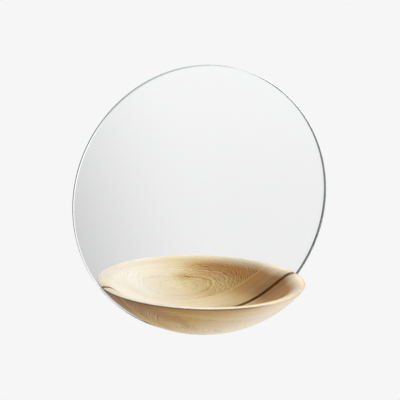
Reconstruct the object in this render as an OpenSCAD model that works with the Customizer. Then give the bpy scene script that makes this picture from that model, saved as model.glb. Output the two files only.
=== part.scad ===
// Round frameless mirror whose shelf is half of a turned wooden bowl.
// The flat of the half bowl stands on the front of the glass, so its reflection completes the bowl.
// Frame: X to the right, Y into the wall, Z up. The origin is the centre of the mirror, on the wall.

/* [Mirror] */
// Diameter of the glass
mirror_d = 320; // [300:1:400]
// Thickness of the glass
glass_t = 5; // [4:0.5:8]
// Width of the arris ground off the front edge of the glass
front_arris = 1; // [0.5:0.1:2]
// Width of the arris ground off the rear edge of the glass
rear_arris = 0.5; // [0.2:0.1:1.5]
// Thickness of the silvering and its paint
silver_t = 0.1; // [0.05:0.05:0.3]
// Thickness of the safety film over the silvering
film_t = 0.2; // [0.1:0.05:0.5]

/* [Bowl] */
// How far the outside of the bowl stays inside the edge of the glass
bowl_inset = 2.5; // [1:0.5:8]
// Height of the bowl, from its lowest point to the outer corner of its rim
bowl_h = 61; // [52:0.5:70]
// How far the turning axis of the bowl lies behind the front of the glass
axis_setback = 4; // [0:0.5:8]
// Thickness of the bowl at the middle of its floor
floor_t = 21.5; // [15:0.5:28]
// Radius of the flat spot in the middle of the floor
floor_flat_r = 20; // [5:1:30]
// Slope of the inner wall above the horizontal
wall_slope = 34.5; // [31:0.5:38]
// How far the top of the rounded rim lies inside its outer corner
crown_in = 3.5; // [2:0.5:6]
// How high the top of the rounded rim stands above its outer corner
crown_h = 0.3; // [0.2:0.1:1.5]
// Radius that breaks the outer corner of the rim
rim_corner_r = 0.5; // [0.3:0.1:1.5]
// Thickness of the board against the mirror, up to the glue joint with the outer board
inner_board_t = 40; // [25:1:60]
// Thickness of the clear gasket between the bowl and the glass
gasket_t = 0.3; // [0.2:0.1:1]
// How far the gasket stays inside the flat of the bowl
gasket_inset = 2; // [1:0.5:3.5]

/* [Bowl fixings] */
// How far the bowl screws lie inside the outside of the bowl
screw_inset = 10.5; // [9.5:0.5:11]
// Distance across from one bowl screw to the next
screw_spacing = 45; // [30:1:55]
// Diameter of the bowl screws
screw_d = 4; // [3:0.5:5]
// Length of screw inside its insert
thread_engagement = 8.4; // [5:0.1:9.5]
// Diameter of the button head
screw_head_d = 7.6; // [7:0.1:8.4]
// Height of the button head
screw_head_h = 2.2; // [1.8:0.1:2.5]
// Width across the flats of the hexagon socket
socket_af = 2.5; // [2:0.5:3]
// Depth of the hexagon socket
socket_depth = 1.3; // [1:0.1:1.6]
// Outside diameter of the washers
washer_d = 9; // [8.5:0.1:9.5]
// Thickness of the washers
washer_t = 0.8; // [0.5:0.1:1.2]
// Outside diameter of the threaded inserts
insert_d = 5.6; // [5.2:0.1:6]
// Length of the threaded inserts
insert_l = 10; // [9.5:0.5:14]
// Diameter of the holes in the glass
glass_hole_d = 7; // [6:0.5:8]
// Diameter of the sleeve flange between the glass and the board
sleeve_flange_d = 12; // [10:0.5:14]

/* [Back board] */
// Thickness of the back board
board_t = 9; // [8.5:0.5:15]
// How far the edge of the board stays inside the edge of the glass
board_inset = 4; // [3:0.5:6]
// Width of the bevel on the rear edge of the board
board_bevel = 2; // [1:0.5:3]
// Thickness of board left in front of the washers
board_web = 4; // [3:0.5:5]
// Thickness of the foam mounting tape
tape_t = 1; // [0.5:0.1:2]
// Width of a tape strip
tape_w = 25; // [15:1:30]
// Distance from one tape strip to the next
tape_pitch = 50; // [45:1:60]
// Number of tape strips on each side of the middle one
tape_pairs = 2; // [1:1:2]
// How far the tape ends stay inside the edge of the board
tape_inset = 17; // [15:1:40]

/* [Hangers] */
// Distance between the two keyholes
keyhole_spacing = 140; // [80:1:180]
// How far the keyhole entries lie below the top of the glass
keyhole_drop = 80; // [65:1:120]
// Diameter of a keyhole entry
entry_d = 9; // [8:0.5:10]
// Width of a keyhole slot
slot_w = 4.5; // [4:0.5:5.5]
// How far a slot runs up from the middle of its entry
slot_rise = 13; // [10:0.5:14]
// Thickness of a hanger plate
plate_t = 1.5; // [1:0.5:2]
// Width of a hanger plate
plate_w = 18; // [15:0.5:22]
// Distance between the two screws of a hanger plate
plate_screw_pitch = 36; // [35:0.5:44]
// How far the middle of a plate lies above its keyhole entry
plate_rise = 4; // [3:0.5:5]
// Depth of the hollow for a wall screw's head, behind the plate
head_room = 5; // [3:0.5:5.5]
// Diameter of the hanger screws
hanger_screw_d = 3; // [2.5:0.1:3.5]
// Diameter of the countersunk heads of the hanger screws
hanger_head_d = 5.8; // [5:0.1:6.5]
// Length of the hanger screws
hanger_screw_l = 7.5; // [6:0.5:8]

/* [Clearances] */
// Gap around a screw in the hole that it passes through
screw_gap = 0.25; // [0.1:0.05:0.4]
// Gap around a sleeve in the glass, and how much more the silvering keeps away
sleeve_gap = 0.2; // [0.1:0.05:0.5]
// Gap around an insert, plate or thread in its own seat
seat_gap = 0.05; // [0.02:0.01:0.15]

/* [Hidden] */
$fn = 180;

// How far each layer starts from the wall
film_back = board_t + tape_t;
silver_back = film_back + film_t;
glass_back = silver_back + silver_t;
glass_front = glass_back + glass_t;
bowl_back = glass_front + gasket_t;
bowl_joint = bowl_back + inner_board_t;
bowl_axis = glass_front - axis_setback;

mirror_r = mirror_d / 2;
board_r = mirror_r - board_inset;
overlap = 1; // how far a cut runs past the face that it opens

// Degrees between the points along the cove, the crown and the corner of the bowl's outline
wide_arc_step = 2;
crown_step = 4;
small_arc_step = 15;

// Bowl outline, as [distance from the turning axis, height]. Outside, it is a sphere about the
// height of the mirror's centre. The rim is an arc through the outer corner.
bowl_r = mirror_r - bowl_inset;
rim_z = bowl_h - bowl_r;
rim_r = sqrt(pow(bowl_r, 2) - pow(rim_z, 2));
crown_r = (pow(crown_in, 2) + pow(crown_h, 2)) / (2 * crown_h);
crown_c = [rim_r - crown_in, rim_z + crown_h - crown_r];
wall_top = crown_c + crown_r * [-sin(wall_slope), cos(wall_slope)];
floor_z = floor_t - bowl_r;
// Where the straight wall would meet the floor, and the arc that blends the two
wall_foot_r = wall_top.x - (wall_top.y - floor_z) / tan(wall_slope);
cove_r = (wall_foot_r - floor_flat_r) / tan(wall_slope / 2);
cove_c = [floor_flat_r, floor_z + cove_r];

// Bowl screws, from the washers to the tip
screw_r = bowl_r - screw_inset;
washer_front = board_t - board_web;
washer_back = washer_front - washer_t;
screw_l = bowl_back + thread_engagement - washer_back;
sleeve_bore_d = screw_d + 2 * screw_gap;
sleeve_d = glass_hole_d - 2 * sleeve_gap;
silver_hole_d = glass_hole_d + 2 * sleeve_gap;
counterbore_d = washer_d + 2 * screw_gap;

// Hangers: the plate's countersink is as wide as its screw's head and the gap around it
countersink_d = hanger_head_d + 2 * seat_gap;
hanger_hole_d = hanger_screw_d + 2 * seat_gap;
head_hollow_d = entry_d + 2;

// Draws its children on the wall plane and lets them grow out of the wall, towards the viewer
module out_of_wall(start = 0) {
    rotate([90, 0, 0]) translate([0, 0, start]) children();
}

// A disc of the mirror's outline, with a bevel on each rim, from one distance to another
module disc(r, start, end, back_bevel = 0, front_bevel = 0) {
    out_of_wall() rotate_extrude() polygon([
        [0, start], [r - back_bevel, start], [r, start + back_bevel],
        [r, end - front_bevel], [r - front_bevel, end], [0, end]
    ]);
}

// A round hole, or a round bar, square to the wall
module bar(d, start, end) {
    out_of_wall(start) cylinder(d = d, h = end - start);
}

// The bowl screws lie on a circle, at even distances across
module at_bowl_screws() {
    for (step = [-1:1]) {
        across = step * screw_spacing;
        translate([across, 0, -sqrt(pow(screw_r, 2) - pow(across, 2))]) children();
    }
}

module at_hangers() {
    for (side = [-1, 1]) at_hanger(side) children();
}

// The middle of a keyhole entry, on the left (-1) or on the right (1)
module at_hanger(side) {
    translate([side * keyhole_spacing / 2, 0, mirror_r - keyhole_drop]) children();
}

// Both screws of a hanger plate
module at_plate_screws() {
    for (side = [-1, 1])
        translate([0, 0, plate_rise + side * plate_screw_pitch / 2]) children();
}

// A bar with two round ends, upright, from one height to another
module upright_slot(w, low, high, start, end) {
    out_of_wall(start) linear_extrude(end - start) {
        translate([0, low]) circle(d = w);
        translate([0, high]) circle(d = w);
        translate([-w / 2, low]) square([w, high - low]);
    }
}

// Mirror

module glass_pane() {
    color("#cfe6df", 0.5) difference() {
        disc(mirror_r, glass_back, glass_front, rear_arris, front_arris);
        at_bowl_screws() bar(glass_hole_d, glass_back - overlap, glass_front + overlap);
    }
}

// The silvering and its film end where the rear arris of the glass begins
module rear_coat(start, end) {
    difference() {
        disc(mirror_r - rear_arris, start, end);
        at_bowl_screws() bar(silver_hole_d, start - overlap, end + overlap);
    }
}

module silver_layer() {
    color("#e9edf0") rear_coat(silver_back, glass_back);
}

module backing_film() {
    color("#8e989c") rear_coat(film_back, silver_back);
}

// Bowl

// Where two circles cross, on the left of the line from the first centre to the second
function circles_cross(c1, r1, c2, r2) =
    let (
        between = c2 - c1,
        d = norm(between),
        along = (pow(r1, 2) - pow(r2, 2) + pow(d, 2)) / (2 * d),
        aside = sqrt(pow(r1, 2) - pow(along, 2)),
        u = between / d
    )
    c1 + along * u + aside * [-u.y, u.x];

// Points along an arc, from one angle to another; skip leaves out that many at its start
function arc(c, r, from, to, step, skip = 0) =
    let (steps = ceil(abs(to - from) / step))
    [for (i = [skip:steps])
        let (turn = from + (to - from) * i / steps)
        c + r * [cos(turn), sin(turn)]];

// The rim from outside the bowl to the top of its inner wall, its outer corner rounded
function rounded_rim() =
    let (
        c = circles_cross([0, 0], bowl_r - rim_corner_r, crown_c, crown_r - rim_corner_r),
        at_side = atan2(c.y, c.x),
        at_crown = atan2(c.y - crown_c.y, c.x - crown_c.x),
        corner = arc(c, rim_corner_r, at_side, at_crown, small_arc_step)
    )
    concat(
        [2 * corner[0] - corner[1]],
        corner,
        arc(crown_c, crown_r, at_crown, 90 + wall_slope, crown_step, 1)
    );

// The same rim moved into the wood, with its outer corner left sharp
function inset_rim(inset) = arc(crown_c, crown_r - inset, wall_slope, 90 + wall_slope, crown_step);

// Half of the bowl's cross-section: a quarter disc, less the hollow inside and above the rim
module bowl_section(rim, inset = 0) {
    difference() {
        intersection() {
            circle(bowl_r - inset);
            translate([0, -mirror_d]) square(mirror_d);
        }
        polygon(concat(
            [[-overlap, overlap], [mirror_r, overlap], [mirror_r, rim[0].y]],
            rim,
            arc(cove_c, cove_r + inset, wall_slope - 90, -90, wide_arc_step),
            [[-overlap, floor_z - inset]]
        ));
    }
}

// The children turned about the bowl's upright axis, kept between two distances from the wall
module turned_slice(start, end) {
    intersection() {
        translate([0, -bowl_axis, 0]) rotate_extrude() children();
        out_of_wall(start) translate([-mirror_r, -mirror_r]) cube([mirror_d, mirror_d, end - start]);
    }
}

module bowl_outer_board() {
    color("#d9b98c") turned_slice(bowl_joint, bowl_axis + bowl_r) bowl_section(rounded_rim());
}

module bowl_inner_board() {
    color("#e3c79c") difference() {
        turned_slice(bowl_back, bowl_joint) bowl_section(rounded_rim());
        at_bowl_screws()
            bar(insert_d + 2 * seat_gap, bowl_back - overlap, bowl_back + insert_l + seat_gap);
    }
}

module bowl_gasket() {
    color("#e8d8bc") difference() {
        turned_slice(glass_front, bowl_back) bowl_section(inset_rim(gasket_inset), gasket_inset);
        at_bowl_screws() bar(sleeve_bore_d, glass_front - overlap, bowl_back + overlap);
    }
}

// Bowl fixings

module bowl_inserts() {
    color("#c8a04c") at_bowl_screws() difference() {
        bar(insert_d, bowl_back, bowl_back + insert_l);
        bar(screw_d + 2 * seat_gap, bowl_back - overlap, bowl_back + insert_l + overlap);
    }
}

module glass_sleeves() {
    color("#eef0ea") at_bowl_screws() difference() {
        union() {
            bar(sleeve_flange_d, board_t, film_back);
            bar(sleeve_d, board_t, glass_front);
        }
        bar(sleeve_bore_d, board_t - overlap, glass_front + overlap);
    }
}

// The head is a slice of a ball that reaches the head's full diameter where it meets the washer
module button_head() {
    ball_r = (pow(screw_head_d / 2, 2) + pow(screw_head_h, 2)) / (2 * screw_head_h);
    difference() {
        intersection() {
            translate([0, -washer_back - ball_r + screw_head_h, 0]) sphere(ball_r);
            bar(screw_head_d, washer_back - screw_head_h, washer_back);
        }
        out_of_wall(washer_back - screw_head_h - overlap)
            cylinder(d = socket_af / cos(30), h = socket_depth + overlap, $fn = 6);
    }
}

module bowl_screws() {
    color("#b9bcc0") at_bowl_screws() {
        button_head();
        bar(screw_d, washer_back, washer_back + screw_l);
    }
}

module bowl_washers() {
    color("#c6c9cc") at_bowl_screws() difference() {
        bar(washer_d, washer_back, washer_front);
        bar(sleeve_bore_d, washer_back - overlap, washer_front + overlap);
    }
}

// Back board

module back_board() {
    color("#a98f6c") difference() {
        disc(board_r, 0, board_t, board_bevel, 0);
        at_bowl_screws() {
            bar(sleeve_bore_d, -overlap, board_t + overlap);
            bar(counterbore_d, -overlap, washer_front);
        }
        at_hangers() {
            plate_outline(seat_gap, -overlap, plate_t);
            upright_slot(head_hollow_d, 0, slot_rise, -overlap, plate_t + head_room);
            at_plate_screws() bar(hanger_hole_d, -overlap, hanger_screw_l + seat_gap);
        }
    }
}

// Upright strips, each as long as the board's round edge allows
module board_tape() {
    for (step = [-tape_pairs:tape_pairs]) {
        far_side = abs(step) * tape_pitch + tape_w / 2;
        half_l = sqrt(pow(board_r - tape_inset, 2) - pow(far_side, 2));
        color("#f2f1ec") out_of_wall(board_t)
            translate([step * tape_pitch - tape_w / 2, -half_l]) cube([tape_w, 2 * half_l, tape_t]);
    }
}

// Hangers

module plate_outline(gap, start, end) {
    half_pitch = plate_screw_pitch / 2;
    upright_slot(plate_w + 2 * gap, plate_rise - half_pitch, plate_rise + half_pitch, start, end);
}

module hanger_plate(side) {
    color("#aeb2b6") at_hanger(side) difference() {
        plate_outline(0, 0, plate_t);
        bar(entry_d, -overlap, plate_t + overlap);
        upright_slot(slot_w, 0, slot_rise, -overlap, plate_t + overlap);
        at_plate_screws() {
            bar(hanger_hole_d, -overlap, plate_t + overlap);
            out_of_wall() cylinder(d1 = countersink_d, d2 = hanger_hole_d, h = countersink_depth());
        }
    }
}

// A right-angled countersink is as deep as its radius shrinks, within the plate
function countersink_depth() = min((countersink_d - hanger_hole_d) / 2, plate_t);

module hanger_plate_left() {
    hanger_plate(-1);
}

module hanger_plate_right() {
    hanger_plate(1);
}

// Countersunk wood screws with a pointed tip and a cross recess
module hanger_screws() {
    head_h = countersink_depth() - seat_gap;
    tip_l = hanger_screw_d / 2;
    recess_l = hanger_screw_d;
    recess_w = hanger_screw_d / 5;
    color("#c3c6c9") at_hangers() at_plate_screws() out_of_wall(seat_gap) difference() {
        union() {
            cylinder(d1 = hanger_head_d, d2 = hanger_screw_d, h = head_h);
            cylinder(d = hanger_screw_d, h = hanger_screw_l - tip_l - seat_gap);
            translate([0, 0, hanger_screw_l - tip_l - seat_gap])
                cylinder(d1 = hanger_screw_d, d2 = 0, h = tip_l);
        }
        for (turn = [0, 90]) rotate([0, 0, turn])
            translate([-recess_l / 2, -recess_w / 2, -overlap]) cube([recess_l, recess_w, overlap + head_h / 2]);
    }
}

glass_pane();
silver_layer();
backing_film();
bowl_outer_board();
bowl_inner_board();
bowl_gasket();
bowl_inserts();
glass_sleeves();
bowl_screws();
bowl_washers();
back_board();
board_tape();
hanger_plate_left();
hanger_plate_right();
hanger_screws();
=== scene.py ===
"""Round mirror with half of a turned wooden bowl as its shelf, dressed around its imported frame.

Frame: X to the right, Y into the wall, Z up, origin in the middle of the mirror on the wall plane.
Lengths are in millimetres in the code and become metres where a mesh is made or the camera placed.
Only the floor, the lamps and the mesh tolerances are given in metres.
"""
import math

import bmesh
import bpy
from mathutils import Matrix, Vector


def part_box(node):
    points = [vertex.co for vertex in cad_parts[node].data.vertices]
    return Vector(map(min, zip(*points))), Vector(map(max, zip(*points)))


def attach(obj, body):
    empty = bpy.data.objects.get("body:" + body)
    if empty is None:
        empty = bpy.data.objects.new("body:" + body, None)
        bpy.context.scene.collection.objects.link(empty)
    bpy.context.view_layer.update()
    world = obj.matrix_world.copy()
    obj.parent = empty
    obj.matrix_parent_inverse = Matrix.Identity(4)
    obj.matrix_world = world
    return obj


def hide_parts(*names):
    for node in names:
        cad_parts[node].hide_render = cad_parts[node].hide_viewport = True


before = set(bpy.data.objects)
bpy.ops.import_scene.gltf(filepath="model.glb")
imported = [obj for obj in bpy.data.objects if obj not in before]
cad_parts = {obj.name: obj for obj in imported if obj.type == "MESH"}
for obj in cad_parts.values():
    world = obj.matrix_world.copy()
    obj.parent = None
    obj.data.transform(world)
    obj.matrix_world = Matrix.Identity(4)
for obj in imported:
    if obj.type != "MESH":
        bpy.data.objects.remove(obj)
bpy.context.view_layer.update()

MM = 0.001


# ---------------------------------------------------------------- sizes

def box_mm(node):
    """Lowest and highest corner of a CAD node."""
    low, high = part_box(node)
    return low / MM, high / MM


GLASS_LOW, GLASS_HIGH = box_mm("glass_pane")
GLASS_R = GLASS_HIGH.x
GLASS_FRONT, GLASS_BACK = GLASS_LOW.y, GLASS_HIGH.y
BOWL_BACK = box_mm("bowl_inner_board")[1].y
BOWL_JOINT = box_mm("bowl_outer_board")[1].y

# The mirror's edge, its rear coat and its holes, as in the CAD source
FRONT_ARRIS = 1.0
REAR_ARRIS = 0.5
COAT_T = 0.02
HOLE_R = 3.5
HOLE_SPACING = 45.0
HOLE_CIRCLE_R = 147.0

# The bowl's outline, as in the CAD source. Its turning axis lies behind the front of the glass.
BOWL_MARGIN = 2.5
AXIS_DEPTH = 4.0
BOWL_R = GLASS_R - BOWL_MARGIN
BOWL_H = 61.0
RIM_Z = BOWL_H - BOWL_R
BOWL_AXIS = GLASS_FRONT + AXIS_DEPTH
FLOOR_T = 21.5
FLOOR_FLAT_R = 20.0
WALL_SLOPE = math.radians(34.5)
CROWN_IN = 3.5
CROWN_H = 0.3
RIM_CORNER_R = 0.5

# How finely the meshes are divided: counts, then the longest step of each arc in degrees
EDGE_STEPS = 720
HOLE_STEPS = 48
INNER_COLUMNS = 40
OUTER_COLUMNS = 90
WALL_PARTS = 4
LONG_ARC_STEP = 1
CROWN_STEP = 3
CORNER_STEP = 15

# Worn edges of the wood, and the sharpest angle in degrees that is shaded smooth
EDGE_WEAR = 0.15
WEAR_SEGMENTS = 2
WEAR_ANGLE = 40
SMOOTH_GLASS = 20
SMOOTH_WOOD = 35

# Tolerances: the first in mm for the outline, the others in metres for the mesh
TOUCHING = 1e-9
WELD = 1e-6
COLLAPSED = 1e-7


# ---------------------------------------------------------------- meshes

def new_object(name, bm):
    """A scene object from a finished bmesh."""
    mesh = bpy.data.meshes.new(name)
    bm.normal_update()
    bm.to_mesh(mesh)
    bm.free()
    obj = bpy.data.objects.new(name, mesh)
    bpy.context.scene.collection.objects.link(obj)
    return obj


def shade(obj, angle, wear=0.0):
    """Smooth shading up to an angle in degrees, with the sharper edges worn round."""
    if wear:
        worn = obj.modifiers.new("edges", "BEVEL")
        worn.width = wear * MM
        worn.segments = WEAR_SEGMENTS
        worn.limit_method = "ANGLE"
        worn.angle_limit = math.radians(WEAR_ANGLE)
        worn.harden_normals = True
    for face in obj.data.polygons:
        face.use_smooth = True
    bpy.context.view_layer.objects.active = obj
    obj.select_set(True)
    bpy.ops.object.shade_smooth_by_angle(angle=math.radians(angle))
    obj.select_set(False)


def arc(centre, radius, start, end, step):
    """Points along an arc, from one angle to another, at most step degrees apart."""
    count = max(1, math.ceil(abs(end - start) / math.radians(step)))
    turns = [start + (end - start) * i / count for i in range(count + 1)]
    return [(centre[0] + radius * math.cos(t), centre[1] + radius * math.sin(t)) for t in turns]


def rim_corner(crown, crown_r):
    """Centre of the small arc that touches the crown and the outer sphere from inside."""
    to_crown = math.hypot(*crown)
    near, far = BOWL_R - RIM_CORNER_R, crown_r - RIM_CORNER_R
    along = (near**2 - far**2 + to_crown**2) / (2 * to_crown)
    aside = math.sqrt(near**2 - along**2)
    ux, uz = crown[0] / to_crown, crown[1] / to_crown
    return along * ux - aside * uz, along * uz + aside * ux


def bowl_outline():
    """Points (distance from the turning axis, height) of the wood's outline.

    They run from the middle of the floor up to the rim, over it and down to the bottom.
    """
    rim_r = math.sqrt(BOWL_R**2 - RIM_Z**2)
    crown_r = (CROWN_IN**2 + CROWN_H**2) / (2 * CROWN_H)
    crown = (rim_r - CROWN_IN, RIM_Z + CROWN_H - crown_r)
    wall_top = (crown[0] - crown_r * math.sin(WALL_SLOPE),
                crown[1] + crown_r * math.cos(WALL_SLOPE))
    floor_z = FLOOR_T - BOWL_R
    foot_r = wall_top[0] - (wall_top[1] - floor_z) / math.tan(WALL_SLOPE)
    cove_r = (foot_r - FLOOR_FLAT_R) / math.tan(WALL_SLOPE / 2)
    corner = rim_corner(crown, crown_r)
    at_side = math.atan2(corner[1], corner[0])
    at_crown = math.atan2(corner[1] - crown[1], corner[0] - crown[0])
    quarter = math.pi / 2

    outline = [(0.0, floor_z), (FLOOR_FLAT_R / 2, floor_z)]
    outline += arc((FLOOR_FLAT_R, floor_z + cove_r), cove_r, -quarter, WALL_SLOPE - quarter,
                   LONG_ARC_STEP)
    foot = outline[-1]
    for part in range(1, WALL_PARTS):
        share = part / WALL_PARTS
        outline.append((foot[0] + share * (wall_top[0] - foot[0]),
                        foot[1] + share * (wall_top[1] - foot[1])))
    outline += arc(crown, crown_r, quarter + WALL_SLOPE, at_crown, CROWN_STEP)
    outline += arc(corner, RIM_CORNER_R, at_crown, at_side, CORNER_STEP)[1:]
    outline += arc((0, 0), BOWL_R, at_side, -quarter, LONG_ARC_STEP)[1:]
    return outline


def with_crossings(outline, reach):
    """The outline with a point added wherever its distance from the axis passes through reach."""
    result = [outline[0]]
    for (r0, z0), (r1, z1) in zip(outline, outline[1:]):
        if (r0 - reach) * (r1 - reach) < 0:
            t = (reach - r0) / (r1 - r0)
            result.append((reach, z0 + t * (z1 - z0)))
        result.append((r1, z1))
    return result


def turned_slice(name, near, far, columns):
    """The bowl's wood between two planes, given as distances in front of its turning axis.

    Without a far plane it reaches to the front of the bowl.
    """
    outline = with_crossings(bowl_outline(), near)
    if far is not None:
        outline = with_crossings(outline, far)
    outline = [p for p in outline if p[0] >= near - TOUCHING]
    bm = bmesh.new()

    def row_of_points(side, r, z):
        """Points at one height, round the axis from the near plane to the far one."""
        start = math.asin(min(1, near / r))
        end = math.pi / 2 if far is None else math.asin(min(1, far / r))
        turns = [start + (end - start) * j / columns for j in range(columns + 1)]
        return [bm.verts.new((side * r * math.cos(t) * MM, (BOWL_AXIS - r * math.sin(t)) * MM,
                              z * MM)) for t in turns]

    grids = []
    for side in (1, -1):
        grid = [row_of_points(side, r, z) for r, z in outline]
        grids.append(grid)
        for low, high in zip(grid, grid[1:]):
            for j in range(columns):
                quad = [low[j], low[j + 1], high[j + 1], high[j]]
                bm.faces.new(quad if side == 1 else quad[::-1])
    right, left = grids
    bm.faces.new([row[0] for row in right] + [row[0] for row in reversed(left)])
    if far is not None:
        keep = [i for i, p in enumerate(outline) if p[0] >= far - TOUCHING]
        bm.faces.new([left[i][-1] for i in keep] + [right[i][-1] for i in reversed(keep)])
    bmesh.ops.remove_doubles(bm, verts=bm.verts, dist=WELD)
    bmesh.ops.dissolve_degenerate(bm, edges=bm.edges, dist=COLLAPSED)
    bmesh.ops.recalc_face_normals(bm, faces=bm.faces)
    return new_object(name, bm)


def ring_of_points(bm, r, y, centre, steps):
    """Points on a circle that faces out of the wall."""
    turns = [2 * math.pi * k / steps for k in range(steps)]
    return [bm.verts.new(((centre[0] + r * math.cos(t)) * MM, y * MM,
                          (centre[1] + r * math.sin(t)) * MM)) for t in turns]


def wall_between(bm, first, second):
    """Four-sided faces between two rings of as many points."""
    for k, point in enumerate(first):
        n = (k + 1) % len(first)
        bm.faces.new([point, first[n], second[n], second[k]])


def drilled_disc(name, profile, holes, hole_r):
    """A round pane with holes right through it.

    The profile is (radius, y) from its front face to its rear one.
    """
    bm = bmesh.new()
    rings = [ring_of_points(bm, r, y, (0, 0), EDGE_STEPS) for r, y in profile]
    for first, second in zip(rings, rings[1:]):
        wall_between(bm, first, second)
    ends = ((rings[0], profile[0][1]), (rings[-1], profile[-1][1]))
    drilled = [[ring_of_points(bm, hole_r, y, hole, HOLE_STEPS) for _, y in ends]
               for hole in holes]
    for front, rear in drilled:
        wall_between(bm, front, rear)
    for k, (outer, _) in enumerate(ends):
        edges = [bm.edges.get((loop[i], loop[(i + 1) % len(loop)]))
                 for loop in [outer] + [pair[k] for pair in drilled] for i in range(len(loop))]
        bmesh.ops.triangle_fill(bm, use_beauty=True, edges=edges)
    bmesh.ops.recalc_face_normals(bm, faces=bm.faces)
    return new_object(name, bm)


# ---------------------------------------------------------------- node trees

# Where a Mix node has its two colours and its result: after those for numbers and vectors
MIX_COLOURS = slice(6, 8)
MIX_RESULT = 2

# Bounces are whole numbers, so that fewer than this is none
HALF_BOUNCE = 0.5


class Tree:
    """Short calls that build a node tree."""

    def __init__(self, tree):
        self.tree = tree

    def put(self, socket, value):
        """Links a value to a socket, or sets it there."""
        if isinstance(value, bpy.types.NodeSocket):
            self.tree.links.new(value, socket)
        elif socket.type == "RGBA":
            socket.default_value = (*value, 1)
        else:
            socket.default_value = value

    def add(self, kind, *values, **settings):
        """A node with these settings, and with values in its first inputs."""
        node = self.tree.nodes.new("ShaderNode" + kind)
        for key, value in settings.items():
            setattr(node, key, value)
        for socket, value in zip(node.inputs, values):
            self.put(socket, value)
        return node

    def math(self, operation, *values):
        return self.add("Math", *values, operation=operation).outputs[0]

    def times(self, first, *others):
        """The product of several numbers."""
        for other in others:
            first = self.math("MULTIPLY", first, other)
        return first

    def between(self, share, first, second):
        """A number part of the way from the first to the second."""
        return self.math("ADD", self.times(self.math("SUBTRACT", 1.0, share), first),
                         self.times(share, second))

    def vector(self, operation, *values, scale=None):
        node = self.add("VectorMath", *values, operation=operation)
        if scale is not None:
            self.put(node.inputs["Scale"], scale)
        number = operation in ("LENGTH", "DISTANCE", "DOT_PRODUCT")
        return node.outputs["Value" if number else "Vector"]

    def split(self, vector):
        """A vector's X, Y and Z."""
        return self.add("SeparateXYZ", vector).outputs

    def spread(self, value, low, high, to_low=0.0, to_high=1.0, kind="LINEAR"):
        """A value's range low..high taken to to_low..to_high, and held there beyond it."""
        return self.add("MapRange", value, low, high, to_low, to_high,
                        interpolation_type=kind).outputs[0]

    def fade(self, value, span):
        """As spread, with a soft start and end. A span is (low, high) or all four numbers."""
        return self.spread(value, *span, kind="SMOOTHSTEP")

    def mix(self, share, first, second, blend="MIX"):
        """A colour part of the way from the first to the second."""
        node = self.add("Mix", data_type="RGBA", blend_type=blend)
        self.put(node.inputs["Factor"], share)
        for socket, colour in zip(node.inputs[MIX_COLOURS], (first, second)):
            self.put(socket, colour)
        return node.outputs[MIX_RESULT]

    def straight(self, rays, *kinds):
        """1 for a ray of these kinds that no dull surface has scattered yet, otherwise 0."""
        share = rays[kinds[0]]
        for kind in kinds[1:]:
            share = self.math("MAXIMUM", share, rays[kind])
        return self.times(share, self.math("LESS_THAN", rays["Diffuse Depth"], HALF_BOUNCE))


class Surface(Tree):
    """One material's nodes. Places in it are in millimetres."""

    def __init__(self, name, **shader):
        self.material = bpy.data.materials.new(name)
        self.material.use_nodes = True
        super().__init__(self.material.node_tree)
        self.shader = self.tree.nodes["Principled BSDF"]
        for key, value in shader.items():
            self.put(self.shader.inputs[key.replace("_", " ")], value)
        self.at = self.vector("SCALE", self.add("TexCoord").outputs["Object"], scale=1 / MM)

    def noise(self, size, at=None, detail=2.0, rough=0.5, colour=False, w=None):
        """Noise with features of a size in mm, in space or along one length w."""
        node = self.add("TexNoise", noise_dimensions="3D" if w is None else "1D")
        if w is None:
            self.put(node.inputs["Vector"], self.at if at is None else at)
        else:
            self.put(node.inputs["W"], w)
        for key, value in (("Scale", 1 / size), ("Detail", detail), ("Roughness", rough)):
            self.put(node.inputs[key], value)
        return node.outputs["Color" if colour else "Fac"]

    def bump(self, height, depth):
        """Relief of a height socket from 0 to 1, depth in mm."""
        node = self.add("Bump")
        self.put(node.inputs["Height"], height)
        self.put(node.inputs["Distance"], depth * MM)
        self.put(self.shader.inputs["Normal"], node.outputs["Normal"])

    def finish(self, colour, rough=None):
        """Gives the shader its colour and roughness, and hands over the material."""
        self.put(self.shader.inputs["Base Color"], colour)
        if rough is not None:
            self.put(self.shader.inputs["Roughness"], rough)
        return self.material


# ---------------------------------------------------------------- the bowl's wood

def below_rim(*depths):
    """Heights, from their depths below the rim."""
    return [RIM_Z - depth for depth in depths]


def under_skin(*depths):
    """Distances from the bowl's centre, from their depths under its outside."""
    return [BOWL_R - depth for depth in depths]


# Tones of the pale sapwood, paler at the left as painted light; the heart, which is partly
# heartwood and partly painted shade; and the rim with its crown, lip and seam, which carry painted
# light and shade
# Painted light: the walls are paler and greyer at the left, like the lit inside there
PALE_LIT_LEFT = (0.85, 0.845, 0.79)
PALE_INSIDE = (0.80, 0.69, 0.44)
PALE_OUTSIDE = (0.80, 0.74, 0.63)
# The heart's browns, inside at the right and at the left tip outside, are partly painted shade
BROWN = (0.54, 0.28, 0.098)
# Painted shade: the deep brown inside the bowl at the right, near the glass
DEEP_BROWN = (0.36, 0.16, 0.055)
TIP_BROWN = (0.42, 0.23, 0.085)
# Painted light and shade on the crown and the lip's end: brighter at the left tip, darker to the
# right
CROWN_TIP = (0.81, 0.76, 0.57)
CROWN_LEFT = (0.71, 0.70, 0.63)
CROWN_RIGHT = (0.67, 0.58, 0.39)
CROWN_NEAR = (0.78, 0.70, 0.54)
CROWN_END = (0.54, 0.49, 0.41)
LIP_END = (0.54, 0.50, 0.43)
# Painted shade: the dark line under the lip's outer corner
UNDER_LIP = (0.22, 0.09, 0.025)
# Painted light: the bright gold of the bowl's flat against the glass
FLAT_RIM = (0.98, 0.68, 0.20)
# The joint line: a glue line with a painted glint along it
JOINT_LINE = (0.86, 0.70, 0.44)

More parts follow.
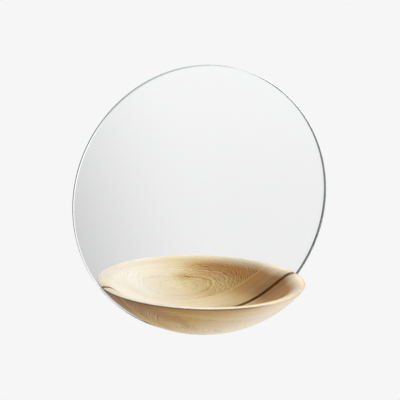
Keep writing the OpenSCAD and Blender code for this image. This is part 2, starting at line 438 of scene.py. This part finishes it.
# Tones that the colour is multiplied by, both painted shade: on top of the rim, and on the outside
# at the left
TOP_SHADE = (0.75, 0.79, 0.83)
LEFT_SHADE = (0.86, 0.76, 0.58)

# Noise that runs with the grain: size in mm, the share that is kept of the length along the
# grain, then detail and roughness
FIBRE = (0.55, 0.02, 3.0, 0.6)
PORES = (0.5, 0.07)
PATCHES = (38, 0.5)
CLOUDS = (60, 0.4, 2.0)

# Shifts of the place by such noise: size, share kept, and reach in mm
HEART_AND_SHADE_WANDER = (45, 0.6, 50.0)
RING_WANDERS = ((70, 0.35, 9.0), (8, 0.3, 2.4), (5, 0.7, 2.8))
STREAK_WANDER = (12, 0.6, 9.0)
NOISE_MIDDLE = (0.5, 0.5, 0.5)

# Growth rings: the shade over one ring, from pale early wood to the thin late line, and how uneven
# the rings are, as a size in mm and a reach in rings. Within DENSE_DEPTH mm of the pith there are
# DENSE_RATE more rings to the mm.
RING_STOPS = ((0.0, 0.6), (0.14, 0.0), (0.42, 0.0), (0.68, 0.45), (0.84, 1.0), (1.0, 0.7))
UNEVEN_SIZE = 6
UNEVEN_REACH = 2.2
DENSE_DEPTH = 41.0
DENSE_RATE = 0.4

# How strong the late lines are: by the year, by patches and by the share of heart and painted
# shade
YEAR_STRENGTH = (0, 1, 0.7, 1.0)
PATCH_STRENGTH = (0.3, 0.7, 0.8, 1.0)
HEART_AND_SHADE_STRENGTH = (0.0, 0.9, 0.22, 1.0)

# A span says where a tone starts and where it is full; two more numbers are its levels there

# From the outside's tones to the inside's
INSIDE_SKIN = under_skin(2.0, 6.0)

# The heart, which is partly painted shade, comes in along a slope of X and height: at the right
# inside and at the left outside, the sides that the light from the right does not reach
RIGHT_SHIFT = 110.0
RIGHT_HEART_AND_SHADE = (-15, 65, 0.06, 1.0)
RIGHT_END_X = (114, 97)
RIGHT_DEPTH = (0.5, 8.0)
LEFT_LEAN = 1.2
LEFT_HEART_AND_SHADE = (75, -45, 0.05, 1.0)
LEFT_DEPTH = (0.0, 1.5)

# Where the heart is brown, partly as painted shade: at the right inside, and at the left tip
# outside
HEART_AND_SHADE_BROWN_Z = (-132, -112)
HEART_AND_SHADE_BROWN_X = (0, 70)
TIP_X = (-70, -115, 0.0, 0.9)

# A patch of heart and painted shade low inside the bowl: its middle, 1 over its half sizes, how
# much of the heart's wander it has, and its fade from the edge to the middle
PATCH_AT = (14.0, -95.0, -114.5)
PATCH_SCALE = (1 / 30, 1 / 30, 1 / 7)
PATCH_WANDER = 0.1
PATCH_FADE = (1.0, 0.0, 0.0, 0.8)

# From the left of the bowl to its right, and on to its two ends
TO_RIGHT_X = (-70, 35)
FAR_RIGHT_X = (40, 95)
FAR_LEFT_X = (-98, -116)

# The lip's end on the outside, darkened as painted shade, and the crown, whose tones are painted
# light and shade: brighter at its left tip, darker to the right, where its end darkens away from
# the glass
LIP_Z = below_rim(5, 1)
CROWN_SKIN = under_skin(0.5, 3.5)
CROWN_Z = below_rim(6, 1)
CROWN_Y = (-30, -80)

# Painted shade as a deep brown inside the bowl: near the glass at the right, and a little of it
# higher up
DEEP_X = (58, 84)
DEEP_Y = (-60, -22)
UPPER_Z = (-124, -106, 0.0, 0.3)
UPPER_X = (35, 65)

# Painted shade under the lip's outer corner: a dark line, with a weaker painted shadow further down
LIP_SKIN = under_skin(1.2, 0.4)
LINE_BELOW_Z = below_rim(3.4, 1.4)
LINE_ABOVE_Z = below_rim(0.1, 0.5)
SHADOW_Z = (*below_rim(11, 0.5), 0.0, 0.4)
UNDER_LIP_X = (60, -10)
UNDER_LIP_SHARE = 0.85

# The bowl's flat against the glass, which shows as a thin seam below the rim. Its bright gold is
# painted light, for the light that the glass keeps from it
FLAT_Y = (BOWL_BACK - 0.3, BOWL_BACK - 0.1)
FLAT_Z = below_rim(9, 2)

# Where the rim is darkened on top by painted shade, and where the outside at the left gets painted
# shade
TOP_Z = below_rim(1.0, 0.2)
TOP_SKIN = under_skin(3.0, 1.5)
TOP_X = (-60, 25)
LEFT_SHADE_Y = (BOWL_JOINT + 0.7, BOWL_JOINT + 3.0)
LEFT_SHADE_X = (-10, -80)
LEFT_SHADE_Z = below_rim(0.2, 1.5)

# The streak: its core's half width in mm, where along X it runs, and how the fibres break it up
STREAK_CORE = 0.5
STREAK_X = (-25, -60)
STREAK_FIBRE = (0.2, 0.8, 0.4, 0.75)

# What the noises, the lines and the heart with its painted shade add to the tone, the relief and
# the gloss
NOISE_SPAN = (0.3, 0.7)
BAND_SIZE = 9
CLOUD_TONE = 0.16
HEART_AND_SHADE_TONE = 0.78
FIBRE_STAIN = (0.25, 0.75, 0.0, 0.14)
PORE_SPAN = (0.66, 0.78)
PORE_STAIN = 0.3
JOINT_FADE = (0.2, 0.7, 0.55, 0.0)
FIBRE_RELIEF = 0.6
LINE_RELIEF = 0.4
WOOD_RELIEF = 0.03
WOOD_ROUGHNESS = (0.2, 0.8, 0.36, 0.5)
WOOD_SPECULAR = 0.04


class Wood(Surface):
    """A board cut from a trunk: pith is a point on the trunk's axis and grain its direction.

    The heart, which is partly heartwood and partly painted shade, lies to the right inside the bowl
    and to the left outside it, where the light from the right does not fall; the rim is sapwood.
    """

    def __init__(self, name, pith, grain, seed):
        super().__init__(name, Specular_IOR_Level=WOOD_SPECULAR)
        self.seed = seed
        self.axis = tuple(Vector(grain).normalized())
        self.from_pith = self.vector("SUBTRACT", self.at, pith)
        self.lengthwise = self.vector("DOT_PRODUCT", self.from_pith, self.axis)
        self.x, self.y, self.z = self.split(self.at)
        self.from_centre = self.vector(
            "LENGTH", self.vector("SUBTRACT", self.at, (0.0, BOWL_AXIS, 0.0)))
        self.inside = self.fade(self.from_centre, INSIDE_SKIN)
        self.to_right = self.fade(self.x, TO_RIGHT_X)
        self.far_right = self.fade(self.x, FAR_RIGHT_X)
        self.heart, self.brown = self.heartwood()

    def grained(self, size, share, detail=1.0, rough=0.5, colour=False):
        """Noise that runs with the grain: share is what is kept of the length along it."""
        shorter = self.vector("SCALE", self.axis, scale=self.times(self.lengthwise, share - 1))
        place = self.vector("ADD", self.from_pith, shorter)
        place = self.vector("ADD", place, (self.seed, 0, 0))
        return self.noise(size, place, detail, rough, colour)

    def wander(self, size, share, reach):
        """A shift of up to half of reach to each side."""
        noise = self.grained(size, share, colour=True)
        return self.vector("SCALE", self.vector("SUBTRACT", noise, NOISE_MIDDLE), scale=reach)

    def heartwood(self):
        """The share of heart and painted shade in the tone, and how brown it is."""
        wander = self.wander(*HEART_AND_SHADE_WANDER)
        x, _, z = self.split(self.vector("ADD", self.at, wander))
        depth = self.math("SUBTRACT", RIM_Z, self.z)

        across = self.math("ADD", x, self.math("ADD", z, RIGHT_SHIFT))
        right = self.times(self.fade(across, RIGHT_HEART_AND_SHADE), self.fade(x, RIGHT_END_X),
                           self.fade(depth, RIGHT_DEPTH))
        patch = self.vector("ADD", self.at, self.vector("SCALE", wander, scale=PATCH_WANDER))
        patch = self.vector("SUBTRACT", patch, PATCH_AT)
        patch = self.vector("LENGTH", self.vector("MULTIPLY", patch, PATCH_SCALE))
        right = self.math("MAXIMUM", right, self.fade(patch, PATCH_FADE))

        down = self.math("ADD", x, self.times(depth, LEFT_LEAN))
        left = self.times(self.fade(down, LEFT_HEART_AND_SHADE), self.spread(depth, *LEFT_DEPTH))
        brown = self.times(self.fade(z, HEART_AND_SHADE_BROWN_Z), self.fade(x, HEART_AND_SHADE_BROWN_X))
        return (self.between(self.inside, left, right),
                self.between(self.inside, self.fade(x, TIP_X), brown))

    def rings(self, width):
        """The depth from the pith, and the late lines of growth rings of a width in mm."""
        bent = self.from_pith
        for wander in RING_WANDERS:
            bent = self.vector("ADD", bent, self.wander(*wander))
        depth = self.vector("LENGTH", self.vector("CROSS_PRODUCT", bent, self.axis))
        uneven = self.times(self.noise(UNEVEN_SIZE, w=depth), UNEVEN_REACH)
        young = self.math("MAXIMUM", self.math("SUBTRACT", DENSE_DEPTH, depth), 0.0)
        count = self.math("ADD", self.math("DIVIDE", depth, width), uneven)
        count = self.math("SUBTRACT", count, self.times(young, DENSE_RATE))
        year = self.add("TexWhiteNoise", noise_dimensions="1D")
        self.put(year.inputs["W"], self.math("FLOOR", count))
        line = self.times(self.ring_shade(count),
                          self.spread(year.outputs["Value"], *YEAR_STRENGTH),
                          self.spread(self.grained(*PATCHES), *PATCH_STRENGTH),
                          self.spread(self.heart, *HEART_AND_SHADE_STRENGTH))
        return depth, line

    def ring_shade(self, count):
        """Pale early wood that darkens to a thin late line, then starts again."""
        ramp = self.add("ValToRGB", self.math("FRACT", count))
        stops = ramp.color_ramp.elements
        for place, _ in RING_STOPS[1:-1]:
            stops.new(place)
        for stop, (_, level) in zip(stops, RING_STOPS):
            stop.color = (level, level, level, 1)
        return ramp.outputs["Color"]

    def tone(self, depth):
        """How much there is of the heart's colour and painted shade: mostly its share, with bands
        and clouds.
        """
        band = self.noise(BAND_SIZE, w=self.math("ADD", depth, self.seed), detail=1.0)
        cloudy = self.math("ADD", self.spread(band, *NOISE_SPAN),
                           self.spread(self.grained(*CLOUDS), *NOISE_SPAN))
        return self.math("ADD", self.times(cloudy, CLOUD_TONE), self.times(self.heart, HEART_AND_SHADE_TONE))

    def pale_colour(self):
        """The sapwood's colour, paler at the left as painted light, with the rim's crown."""
        lip = self.times(self.far_right, self.fade(self.z, LIP_Z))
        outside = self.mix(lip, PALE_OUTSIDE, LIP_END)
        walls = self.mix(self.to_right, PALE_LIT_LEFT, self.mix(self.inside, outside, PALE_INSIDE))
        at_left = self.mix(self.fade(self.x, FAR_LEFT_X), CROWN_LEFT, CROWN_TIP)
        at_right = self.mix(self.fade(self.y, CROWN_Y), CROWN_NEAR, CROWN_END)
        top = self.mix(self.to_right, at_left, self.mix(self.far_right, CROWN_RIGHT, at_right))
        crown = self.times(self.fade(self.from_centre, CROWN_SKIN), self.fade(self.z, CROWN_Z))
        return self.mix(crown, walls, top)

    def heart_colour(self, gold):
        """The colour of the heart and its painted shade, from gold to a deep brown."""
        deep = self.times(self.fade(self.x, DEEP_X), self.fade(self.y, DEEP_Y), self.inside)
        upper = self.times(self.fade(self.z, UPPER_Z), self.fade(self.x, UPPER_X), self.inside)
        brown = self.mix(self.brown, gold, self.mix(self.inside, TIP_BROWN, BROWN))
        return self.mix(self.math("MAXIMUM", deep, upper), brown, DEEP_BROWN)

    def streaked(self, colour, fibre, normal, middle, half_width, stain):
        """A stain along a plane, which is given by its normal and its distance."""
        place = self.vector("ADD", self.at, self.wander(*STREAK_WANDER))
        off = self.math("SUBTRACT", self.vector("DOT_PRODUCT", place, normal), middle)
        share = self.times(self.fade(self.math("ABSOLUTE", off), (half_width, STREAK_CORE)),
                           self.fade(self.x, STREAK_X), self.heart,
                           self.spread(fibre, *STREAK_FIBRE))
        return self.mix(share, colour, stain)

    def at_rim(self, colour):
        """Painted light and shade at the rim: a dark line under the lip, a gold seam, a dim top, a
        darker left outside.
        """
        skin = self.spread(self.from_centre, *LIP_SKIN)
        line = self.times(self.fade(self.z, LINE_BELOW_Z), self.spread(self.z, *LINE_ABOVE_Z),
                          skin)
        shadow = self.times(skin, self.spread(self.z, *SHADOW_Z))
        under = self.times(self.math("MAXIMUM", line, shadow), self.fade(self.x, UNDER_LIP_X),
                           UNDER_LIP_SHARE)
        colour = self.mix(under, colour, UNDER_LIP)
        flat = self.times(self.spread(self.y, *FLAT_Y), self.fade(self.z, FLAT_Z))
        colour = self.mix(flat, colour, FLAT_RIM)
        top = self.times(self.fade(self.z, TOP_Z), self.spread(self.from_centre, *TOP_SKIN),
                         self.fade(self.x, TOP_X))
        colour = self.mix(top, colour, self.mix(1.0, colour, TOP_SHADE, "MULTIPLY"))
        shaded = self.times(self.spread(self.y, *LEFT_SHADE_Y), self.fade(self.x, LEFT_SHADE_X),
                             self.math("SUBTRACT", 1.0, self.inside),
                             self.spread(self.z, *LEFT_SHADE_Z))
        return self.mix(shaded, colour, self.mix(1.0, colour, LEFT_SHADE, "MULTIPLY"))

    def at_joint(self, colour):
        """The light line where the two boards are glued: a glue line with a painted glint."""
        off = self.math("ABSOLUTE", self.math("SUBTRACT", self.y, BOWL_JOINT))
        return self.mix(self.spread(off, *JOINT_FADE), colour, JOINT_LINE)


def wood(name, pith, grain, ring, gold, late, line_share, seed, streak=None):
    """A board's material: ring is the rings' width, gold the tone of the heart and its painted
    shade, late the lines'.
    """
    g = Wood(name, pith, grain, seed)
    depth, line = g.rings(ring)
    fibre = g.grained(*FIBRE)
    pores = g.spread(g.grained(*PORES), *PORE_SPAN)
    colour = g.mix(g.tone(depth), g.pale_colour(), g.heart_colour(gold))
    for share in (g.spread(fibre, *FIBRE_STAIN), g.times(pores, PORE_STAIN),
                  g.times(line, line_share)):
        colour = g.mix(share, colour, late)
    if streak:
        colour = g.streaked(colour, fibre, *streak)
    colour = g.at_joint(g.at_rim(colour))
    g.bump(g.math("ADD", g.times(fibre, FIBRE_RELIEF), g.times(line, LINE_RELIEF)), WOOD_RELIEF)
    return g.finish(colour, g.spread(fibre, *WOOD_ROUGHNESS))


# Trunk axes found from the direction of the grain lines in the photo: close under the outer board,
# far behind the inner one. The streak is a plane's normal and distance, half width and tone.
OUTER_WOOD = wood("outer_wood", pith=(0, -99.2, -155.2), grain=(1, 0.056, -0.035), ring=1.45,
                  gold=(0.67, 0.44, 0.135), late=(0.15, 0.06, 0.014), line_share=1.0, seed=3.0,
                  streak=((0.446, 0.183, 0.876), -147.7, 5.0, (0.40, 0.20, 0.10)))
INNER_WOOD = wood("inner_wood", pith=(0, 420.0, -60.0), grain=(1, 0.01, 0.02), ring=1.7,
                  gold=(0.67, 0.44, 0.175), late=(0.30, 0.14, 0.045), line_share=0.25, seed=41.0)


# ---------------------------------------------------------------- the other materials

# Glass and silver are a trace uneven, in clouds of a size in mm
GLASS_IOR = 1.52
GLASS_CLOUD = 40
GLASS_UNEVEN = 0.995
SILVER_CLOUD = 60
SILVER_TONES = ((0.95, 0.952, 0.95), (0.945, 0.947, 0.946))

# The clear gasket has the gold that the seam shows: a painted reflection of the wood on both sides
# of it
GASKET_CLOUD = 3
GASKET_TONES = ((0.95, 0.36, 0.08), (0.88, 0.30, 0.06))

# A speckled finish: its broad clouds are this many times as large as its grain, each has a share in
# the tone, and the gloss varies from less rough to more
BROAD = 12
FINE_SHARE = 0.6
BROAD_SHARE = 0.4
TONE_SPAN = (0.35, 0.65)
GLOSS_SPAN = (0.3, 0.7)
LESS_ROUGH = 0.85
MORE_ROUGH = 1.15


def glass(name, tint, rough=0.0, clear=1.0, mirror=0.0):
    g = Surface(name, Transmission_Weight=clear, IOR=GLASS_IOR, Roughness=rough, Metallic=mirror)
    return g.finish(g.mix(g.noise(GLASS_CLOUD), tint, tuple(c * GLASS_UNEVEN for c in tint)))


def silvering():
    g = Surface("silvering", Metallic=1.0, Roughness=0.0)
    return g.finish(g.mix(g.noise(SILVER_CLOUD), *SILVER_TONES))


def gasket():
    g = Surface("gasket", IOR=1.45, Roughness=0.45, Transmission_Weight=0.1,
                Specular_IOR_Level=0.0)
    return g.finish(g.mix(g.noise(GASKET_CLOUD, detail=3.0), *GASKET_TONES))


def speckled(name, first, second, size, rough, relief, metal=0.0):
    """An even finish with fine cloudiness and a little unevenness in its gloss."""
    g = Surface(name, Metallic=metal)
    fine = g.noise(size, detail=4.0, rough=0.65)
    broad = g.noise(size * BROAD)
    tone = g.math("ADD", g.times(fine, FINE_SHARE), g.times(broad, BROAD_SHARE))
    g.bump(fine, relief)
    return g.finish(g.mix(g.spread(tone, *TONE_SPAN), first, second),
                    g.spread(fine, *GLOSS_SPAN, rough * LESS_ROUGH, rough * MORE_ROUGH))


def metal(name, first, second, size, rough, relief=0.01):
    return speckled(name, first, second, size, rough, relief, metal=1.0)


GLASS = glass("glass", (0.995, 1.0, 0.998))
EDGE_GLASS = glass("edge_glass", (0.11, 0.36, 0.29), rough=0.3, clear=0.5)
ARRIS_GLASS = glass("arris_glass", (0.95, 0.97, 0.965), rough=0.05, mirror=0.6)
SILVER = silvering()


# ---------------------------------------------------------------- pieces

# How much of a face's normal points along Y: nearly all of it on the pane's front and rear, nearly
# none on its edge and in its holes, and a part of it on its arrises
FACING = 0.99
EDGEWISE = 0.1
PANE_MATERIALS = (GLASS, SILVER, EDGE_GLASS, ARRIS_GLASS)


def dress(piece, node):
    """A piece that stands for a CAD node of the one body."""
    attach(piece, "root")
    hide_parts(node)


def pane_material(tilt):
    """The pane's material where its normal has this share along Y."""
    if tilt > FACING:
        return SILVER
    if abs(tilt) < EDGEWISE:
        return EDGE_GLASS
    return ARRIS_GLASS if tilt > -FACING else GLASS


def make_pane():
    """The glass, with a silvered rear face, a ground edge and three holes."""
    hole_z = -math.sqrt(HOLE_CIRCLE_R**2 - HOLE_SPACING**2)
    pane = drilled_disc("mirror_pane", [
        (GLASS_R - FRONT_ARRIS, GLASS_FRONT), (GLASS_R, GLASS_FRONT + FRONT_ARRIS),
        (GLASS_R, GLASS_BACK - REAR_ARRIS), (GLASS_R - REAR_ARRIS, GLASS_BACK - COAT_T)],
        [(-HOLE_SPACING, hole_z), (0, -HOLE_CIRCLE_R), (HOLE_SPACING, hole_z)], HOLE_R)
    for material in PANE_MATERIALS:
        pane.data.materials.append(material)
    for face in pane.data.polygons:
        face.material_index = PANE_MATERIALS.index(pane_material(face.normal.y))
    shade(pane, SMOOTH_GLASS)
    dress(pane, "glass_pane")


def make_board(name, node, near, far, columns, material):
    """A board of the bowl between two planes in front of its turning axis."""
    board = turned_slice(name, near, far, columns)
    board.data.materials.append(material)
    shade(board, SMOOTH_WOOD, EDGE_WEAR)
    dress(board, node)


make_pane()
make_board("bowl_inner_wood", "bowl_inner_board", BOWL_AXIS - BOWL_BACK, BOWL_AXIS - BOWL_JOINT,
           INNER_COLUMNS, INNER_WOOD)
make_board("bowl_outer_wood", "bowl_outer_board", BOWL_AXIS - BOWL_JOINT, None,
           OUTER_COLUMNS, OUTER_WOOD)


# ---------------------------------------------------------------- the CAD solids that stay

# Each finish has two tones, then its grain's size in mm, its roughness, and its relief in mm
ZINC = metal("zinc_left", (0.72, 0.73, 0.75), (0.56, 0.57, 0.60), 0.6, 0.34)
FINISHES = {
    "silver_layer": SILVER,
    "backing_film": speckled("film", (0.62, 0.65, 0.68), (0.55, 0.58, 0.61), 1.5, 0.35, 0.02),
    "bowl_gasket": gasket(),
    "bowl_inserts": metal("brass", (0.80, 0.60, 0.26), (0.66, 0.47, 0.19), 0.5, 0.3, 0.02),
    "glass_sleeves": speckled("nylon", (0.86, 0.85, 0.80), (0.78, 0.77, 0.72), 0.6, 0.45, 0.01),
    "bowl_screws": metal("screw_steel", (0.62, 0.62, 0.63), (0.48, 0.48, 0.50), 0.4, 0.3),
    "bowl_washers": metal("washer_steel", (0.66, 0.66, 0.67), (0.54, 0.54, 0.55), 0.5, 0.28),
    "back_board": speckled("fibre_board", (0.50, 0.36, 0.22), (0.38, 0.26, 0.15), 0.45, 0.75,
                           0.05),
    "board_tape": speckled("foam_tape", (0.84, 0.84, 0.82), (0.72, 0.72, 0.70), 0.25, 0.85, 0.06),
    "hanger_plate_left": ZINC,
    "hanger_plate_right": ZINC,
    "hanger_screws": metal("zinc_screws", (0.76, 0.76, 0.78), (0.60, 0.60, 0.63), 0.3, 0.32),
}
for name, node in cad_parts.items():
    if not node.hide_render:
        node.data.materials.clear()
        node.data.materials.append(FINISHES[name])


# ---------------------------------------------------------------- camera

# Angles in degrees, solved from the mirror's ellipse and the bowl's rim in the photo. The aim is
# given from the middle of the mirror's front, the focal length in pixels of the photo, and the
# sensor's width in mm. Clipping starts and ends at distances in metres.
CAMERA_TURN = 21.97
CAMERA_RISE = 11.52
CAMERA_ROLL = 1.66
CAMERA_DISTANCE = 1527.0
CAMERA_AIM = (-6.2, 0.0, 1.8)
CAMERA_CLIP = (0.01, 100)
FOCAL_PX = 1299.0
IMAGE_PX = 400
SENSOR = 36.0


def make_camera():
    """The photograph's view: from the front left and a little above."""
    turn, rise, roll = (math.radians(a) for a in (CAMERA_TURN, CAMERA_RISE, CAMERA_ROLL))
    centre = Vector((0, GLASS_FRONT, 0))
    place = centre + CAMERA_DISTANCE * Vector((-math.sin(turn) * math.cos(rise),
                                               -math.cos(turn) * math.cos(rise), math.sin(rise)))
    ahead = (centre + Vector(CAMERA_AIM) - place).normalized()
    right = ahead.cross(Vector((0, 0, 1))).normalized()
    up = right.cross(ahead)
    right, up = (math.cos(roll) * right + math.sin(roll) * up,
                 math.cos(roll) * up - math.sin(roll) * right)
    data = bpy.data.cameras.new("camera")
    data.sensor_width = SENSOR
    data.lens = FOCAL_PX / IMAGE_PX * SENSOR
    data.clip_start, data.clip_end = CAMERA_CLIP
    camera = bpy.data.objects.new("camera", data)
    bpy.context.scene.collection.objects.link(camera)
    place *= MM
    camera.matrix_world = Matrix((
        (right.x, up.x, -ahead.x, place.x), (right.y, up.y, -ahead.y, place.y),
        (right.z, up.z, -ahead.z, place.z), (0, 0, 0, 1)))
    bpy.context.scene.camera = camera


make_camera()


# ---------------------------------------------------------------- studio

# The plain background, and the levels of the even fill on dull surfaces and through glass
BACKDROP = (0.921, 0.921, 0.921)
WHITE = (1, 1, 1)
FILL = 0.1
MIRROR_FILL = 0.8

# The room that glass and gloss reflect, over directions of length 1: its level and the least of it,
# then a dark band at the left, as a line's slope and shift, its rise and fall across that line, and
# where it ends; and the levels that come in above, at the window and at the ceiling
ROOM = 0.9045
ROOM_LEAST = 0.2
BAND_LINE = (-0.289, 0.3134)
BAND_RISE = (0.0, 0.3309, 0.0, 0.968)
BAND_FALL = (0.25, 0.42, 1.0, 0.35)
BAND_END = (0.85, 1.05, 1.0, 0.0)
BAND_END_Y = (0.0, 0.1, 1.0, 0.0)
BAND_END_Z = (0.05, 0.35, 1.0, 0.0)
ABOVE_Z = (-0.2371, 0.0606, 0.0, 0.1544)
WINDOW_X = (0.52, 0.7, 0.0, 0.35)
CEILING_Z = (0.5, 0.8, 0.0, 0.55)

# The floor in metres, and the distances in mm over which it fades into the background
FLOOR_CENTRE = (0, -0.3, -0.55)
FLOOR_R = 1.0
FLOOR_STEPS = 96
FLOOR_TONE = (0.86, 0.86, 0.86)
FLOOR_FADE = (450, 1000)

# Square lamps: name, place in metres and power in watts
LAMP_SIZE = 1.5
LAMP_TARGET = (0, -0.05, -0.1)
LAMPS = (
    ("key", (1.532, 0.0, 1.186), 34),
    ("rear", (1.5, 0.866, 0.9), 30),
    ("front", (0.94, -1.342, 1.047), 28),
    ("low", (0.661, -1.815, 0.418), 8),
    ("above", (0.0, -0.174, 1.892), 21),
)


def make_world():
    """A pale room: even fill on the object, and a graded surround for what glass and gloss show."""
    world = bpy.data.worlds.new("studio")
    bpy.context.scene.world = world
    world.use_nodes = True
    g = Tree(world.node_tree)
    x, y, z = g.split(g.add("TexCoord").outputs["Generated"])

    side = g.math("SUBTRACT", g.math("MULTIPLY_ADD", z, *BAND_LINE), x)
    dark = g.times(g.fade(side, BAND_RISE), g.fade(side, BAND_FALL), g.spread(side, *BAND_END),
                   g.spread(y, *BAND_END_Y), g.spread(z, *BAND_END_Z))
    level = g.math("ADD", g.math("SUBTRACT", ROOM, dark), g.fade(z, ABOVE_Z))
    level = g.math("ADD", level, g.fade(x, WINDOW_X))
    level = g.math("SUBTRACT", level, g.fade(z, CEILING_Z))
    room = g.add("Background", g.math("MAXIMUM", level, ROOM_LEAST)).outputs[0]

    rays = g.add("LightPath").outputs
    level = g.math("MULTIPLY_ADD", rays["Is Transmission Ray"], MIRROR_FILL - FILL, FILL)
    fill = g.add("Background", WHITE, level).outputs[0]
    plain = g.add("Background", BACKDROP).outputs[0]
    straight = g.straight(rays, "Is Glossy Ray", "Is Transmission Ray")
    light = g.add("MixShader", straight, fill, room).outputs[0]
    seen = g.add("MixShader", rays["Is Camera Ray"], light, plain).outputs[0]
    g.put(g.tree.nodes["World Output"].inputs["Surface"], seen)


def make_floor():
    """A pale floor below the object that keeps its shadow and fades into the background."""
    bm = bmesh.new()
    bmesh.ops.create_circle(bm, cap_ends=True, segments=FLOOR_STEPS, radius=FLOOR_R)
    bmesh.ops.translate(bm, verts=bm.verts, vec=FLOOR_CENTRE)
    floor = new_object("floor", bm)
    g = Surface("floor", Roughness=0.9)
    g.finish(FLOOR_TONE)
    off = g.vector("DISTANCE", g.at, tuple(c / MM for c in FLOOR_CENTRE))
    straight = g.straight(g.add("LightPath").outputs,
                          "Is Camera Ray", "Is Glossy Ray", "Is Transmission Ray")
    glow = g.add("Emission", BACKDROP).outputs[0]
    mixed = g.add("MixShader", g.times(g.fade(off, FLOOR_FADE), straight),
                  g.shader.outputs[0], glow)
    g.put(g.tree.nodes["Material Output"].inputs["Surface"], mixed.outputs[0])
    floor.data.materials.append(g.material)


def softbox(name, place, power):
    """A square lamp that looks at the target and doesn't show in glass or gloss."""
    data = bpy.data.lights.new(name, "AREA")
    data.shape = "RECTANGLE"
    data.size = data.size_y = LAMP_SIZE
    data.energy = power
    lamp = bpy.data.objects.new(name, data)
    bpy.context.scene.collection.objects.link(lamp)
    lamp.location = place
    lamp.visible_glossy = lamp.visible_transmission = False
    ahead = Vector(LAMP_TARGET) - Vector(place)
    lamp.rotation_euler = ahead.to_track_quat("-Z", "Y").to_euler()


make_world()
make_floor()
for lamp in LAMPS:
    softbox(*lamp)

bpy.context.scene.view_settings.view_transform = "Standard"
